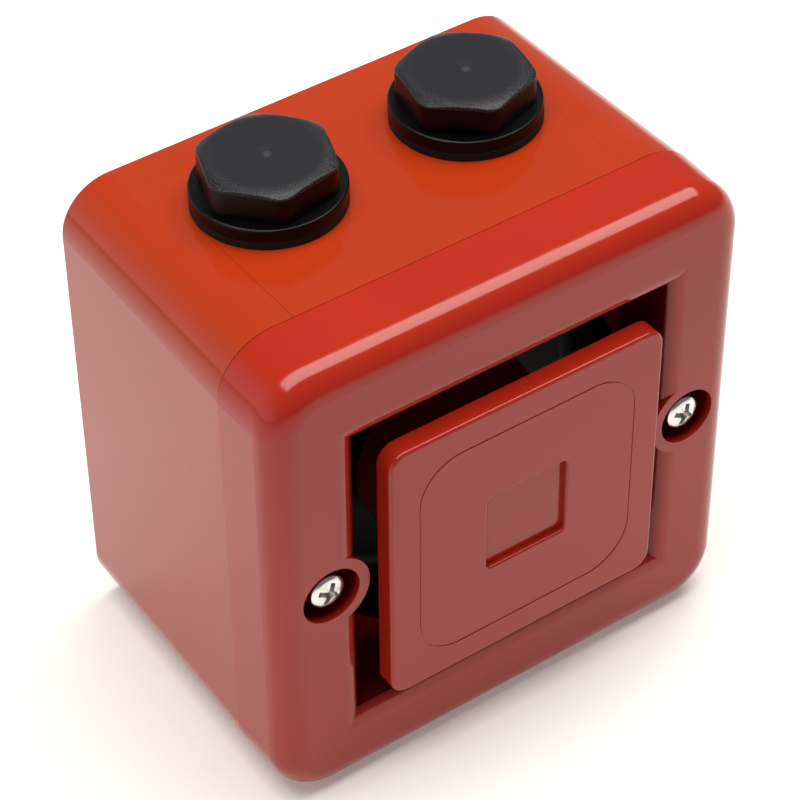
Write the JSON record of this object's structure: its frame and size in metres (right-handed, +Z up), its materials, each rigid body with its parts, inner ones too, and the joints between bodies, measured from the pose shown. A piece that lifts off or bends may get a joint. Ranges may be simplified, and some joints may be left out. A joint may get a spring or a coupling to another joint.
{
  "type": "alarm sounder",
  "caption": "Square red wall-mounted alarm sounder: folded horn behind a floating deflector plate, screwed front cover over a deep housing, cable entries on top closed by plugs",
  "frame": {"origin": "Centre of the flat wall face of the rear housing.", "axes": "+X to the right as the listener sees it, -Y out of the wall towards the listener, +Z up to the cable entries."},
  "size_m": [0.1, 0.0706, 0.1095],
  "materials": {
    "housing_red": "moulded glossy red plastic",
    "cover_red": "moulded glossy red plastic",
    "horn_black": "moulded black plastic",
    "plate_red": "moulded glossy red plastic",
    "plug_black": "fine grained black plastic",
    "seal_rubber": "matt black rubber",
    "insert_brass": "turned brass",
    "screw_steel": "bright stainless steel",
    "fixing_zinc": "bright zinc plating",
    "driver_black": "moulded black plastic",
    "diaphragm_film": "amber film",
    "coil_copper": "varnished copper wire",
    "pot_steel": "plated steel",
    "magnet_grey": "nickel plated magnet",
    "tag_brass": "tinned brass",
    "lead_black": "black insulation",
    "lead_red": "red insulation",
    "board_green": "solder resist on glass laminate",
    "terminal_green": "moulded green plastic",
    "switch_blue": "moulded blue plastic",
    "trimmer_blue": "moulded blue plastic",
    "rotor_white": "moulded white plastic",
    "chip_black": "moulded black resin",
    "can_aluminium": "drawn aluminium can"
  },
  "bodies": {
    "housing": {"rear_housing": "housing_red", "housing_gasket": "seal_rubber", "threaded_inserts": "insert_brass", "sealing_washer_left": "seal_rubber", "sealing_washer_right": "seal_rubber", "blanking_plug_left": "plug_black", "blanking_plug_right": "plug_black"},
    "screw_left": {"cover_screw_left": "screw_steel"},
    "screw_right": {"cover_screw_right": "screw_steel"},
    "trimmer": {"trimmer_rotor": "rotor_white"},
    "dip_1": {"dip_slider_1": "rotor_white"},
    "dip_2": {"dip_slider_2": "rotor_white"},
    "dip_3": {"dip_slider_3": "rotor_white"},
    "dip_4": {"dip_slider_4": "rotor_white"},
    "dip_5": {"dip_slider_5": "rotor_white"},
    "front": {"front_cover": "cover_red", "horn_bowl": "horn_black", "throat_tube": "horn_black", "board_pillars": "insert_brass", "horn_plate": "plate_red", "screw_seal_left": "seal_rubber", "screw_seal_right": "seal_rubber", "throat_gasket": "seal_rubber", "horn_screws": "fixing_zinc", "bell_screws": "fixing_zinc", "driver_screws": "fixing_zinc", "board_screws": "fixing_zinc", "terminal_screws": "fixing_zinc", "driver_case": "driver_black", "diaphragm": "diaphragm_film", "voice_coil": "coil_copper", "clamp_ring": "driver_black", "gap_plate": "pot_steel", "pole_piece": "pot_steel", "yoke": "pot_steel", "magnet": "magnet_grey", "driver_tags": "tag_brass", "driver_lead_left": "lead_black", "driver_lead_right": "lead_red", "circuit_board": "board_green", "terminal_block": "terminal_green", "dip_switch": "switch_blue", "volume_trimmer": "trimmer_blue", "tone_chip": "chip_black", "capacitor": "can_aluminium", "inductor": "magnet_grey"}
  },
  "joints": [
    {"name": "cover_lift_off", "type": "slide", "parent": "housing", "child": "front", "axis": [0, -1, 0], "range_m": [0, 0.055]},
    {"name": "cover_screw_left_turn", "type": "hinge", "parent": "front", "child": "screw_left", "pos_m": [-0.03885, -0.0645, 0], "axis": [0, 1, 0], "continuous": true},
    {"name": "cover_screw_right_turn", "type": "hinge", "parent": "front", "child": "screw_right", "pos_m": [0.03885, -0.0645, 0], "axis": [0, 1, 0], "continuous": true},
    {"name": "volume_trimmer_turn", "type": "hinge", "parent": "front", "child": "trimmer", "pos_m": [0.014, -0.0089, 0.008], "axis": [0, 1, 0], "range_deg": [-135, 135]},
    {"name": "dip_slider_1_travel", "type": "slide", "parent": "front", "child": "dip_1", "axis": [0, 0, 1], "range_m": [0, 0.0016]},
    {"name": "dip_slider_2_travel", "type": "slide", "parent": "front", "child": "dip_2", "axis": [0, 0, 1], "range_m": [0, 0.0016]},
    {"name": "dip_slider_3_travel", "type": "slide", "parent": "front", "child": "dip_3", "axis": [0, 0, 1], "range_m": [0, 0.0016]},
    {"name": "dip_slider_4_travel", "type": "slide", "parent": "front", "child": "dip_4", "axis": [0, 0, 1], "range_m": [0, 0.0016]},
    {"name": "dip_slider_5_travel", "type": "slide", "parent": "front", "child": "dip_5", "axis": [0, 0, 1], "range_m": [0, 0.0016]}
  ]
}
